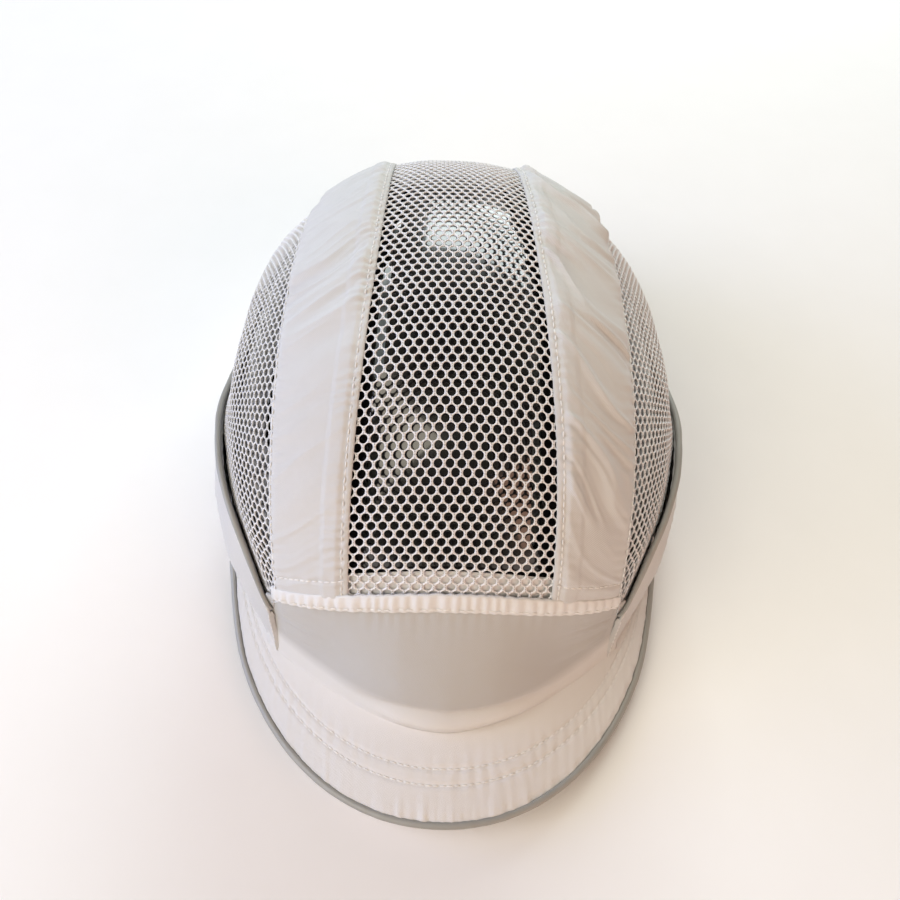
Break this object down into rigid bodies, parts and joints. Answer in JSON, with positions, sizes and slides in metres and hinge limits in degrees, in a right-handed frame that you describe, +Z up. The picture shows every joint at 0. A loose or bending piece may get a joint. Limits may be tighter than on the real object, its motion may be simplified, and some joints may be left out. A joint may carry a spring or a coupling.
{
  "type": "bump cap",
  "caption": "Short-peaked bump cap with a mesh and woven cover over a padded hard shell, a sweatband and an adjustable strap closing the arched rear opening.",
  "frame": {"origin": "centre of the cap's bounding box, on the plane that the rim stands on", "axes": "+Z up, -Y the way the peak and the wearer point, +X the wearer's left"},
  "size_m": [0.1848, 0.2741, 0.128],
  "materials": {
    "mesh": "matt knitted hexagon mesh",
    "twill": "matt fine twill",
    "reflective_tape": "satin grey reflective tape",
    "shell": "glossy moulded ABS",
    "foam": "matt closed-cell EVA foam",
    "towelling": "soft looped towelling",
    "board": "semi-rigid polyethylene board",
    "webbing": "folded cotton twill strap",
    "buckle": "moulded nylon",
    "pin": "bright steel"
  },
  "bodies": {
    "cap": {"centre_mesh_panel": "mesh", "left_side_mesh": "mesh", "right_side_mesh": "mesh", "left_strip_panel": "twill", "right_strip_panel": "twill", "front_panel": "twill", "front_seam_fold": "twill", "front_seam_facing": "twill", "left_side_band": "twill", "right_side_band": "twill", "rear_panel": "twill", "rim_tape": "twill", "peak_top_fabric": "twill", "peak_lining": "twill", "care_label": "twill", "left_piping": "reflective_tape", "right_piping": "reflective_tape", "arch_binding": "reflective_tape", "peak_binding": "reflective_tape", "hard_shell": "shell", "crown_pad": "foam", "front_pad": "foam", "rear_pad": "foam", "left_side_pad": "foam", "right_side_pad": "foam", "sweatband": "towelling", "brow_pad": "towelling", "peak_board": "board", "buckle_tab": "webbing", "buckle_frame": "buckle", "buckle_pin": "pin"},
    "strap": {"adjuster_strap": "webbing"},
    "lever": {"buckle_lever": "buckle"}
  },
  "joints": [
    {"name": "strap_adjust", "type": "hinge", "parent": "cap", "child": "strap", "pos_m": [0, 0.0459, 0.0165], "axis": [0, 0, 1], "range_deg": [-3.5, 11]},
    {"name": "lever_pivot", "type": "hinge", "parent": "cap", "child": "lever", "pos_m": [-0.00618, 0.13539, 0.0165], "axis": [0, 0, 1], "range_deg": [-85, 0]}
  ]
}
